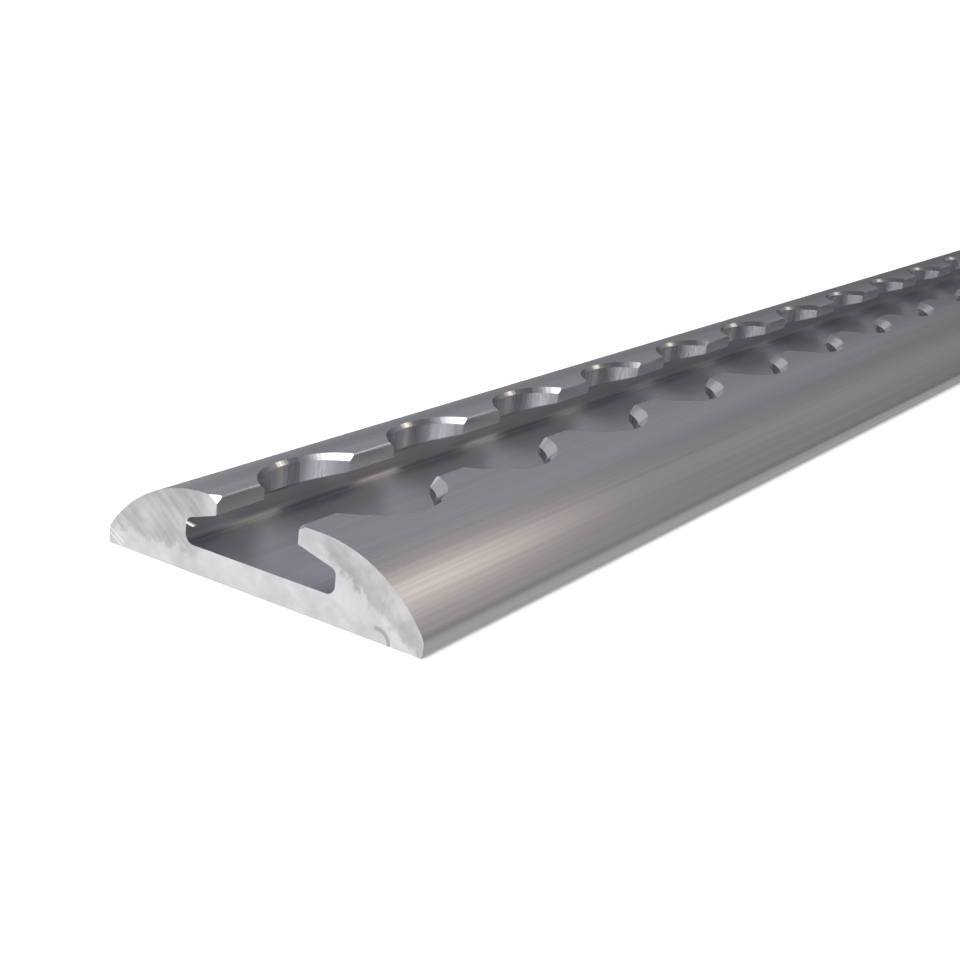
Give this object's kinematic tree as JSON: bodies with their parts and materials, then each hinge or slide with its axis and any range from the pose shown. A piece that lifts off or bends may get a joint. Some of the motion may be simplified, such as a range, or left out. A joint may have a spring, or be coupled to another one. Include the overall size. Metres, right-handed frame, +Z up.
{
  "type": "half-round lashing rail",
  "caption": "Domed aluminium lashing rail: a flat-based extrusion with a T-slot and a row of chamfered round holes for stud fittings.",
  "frame": {"origin": "middle of the flat base", "axes": "+X along the rail, +Y across it, +Z up out of the slot"},
  "size_m": [1, 0.046, 0.0101],
  "materials": {
    "mill_aluminium": "mill-finish extruded aluminium with sawn ends and drilled holes"
  },
  "bodies": {
    "root": {"lashing_rail": "mill_aluminium"}
  },
  "joints": []
}
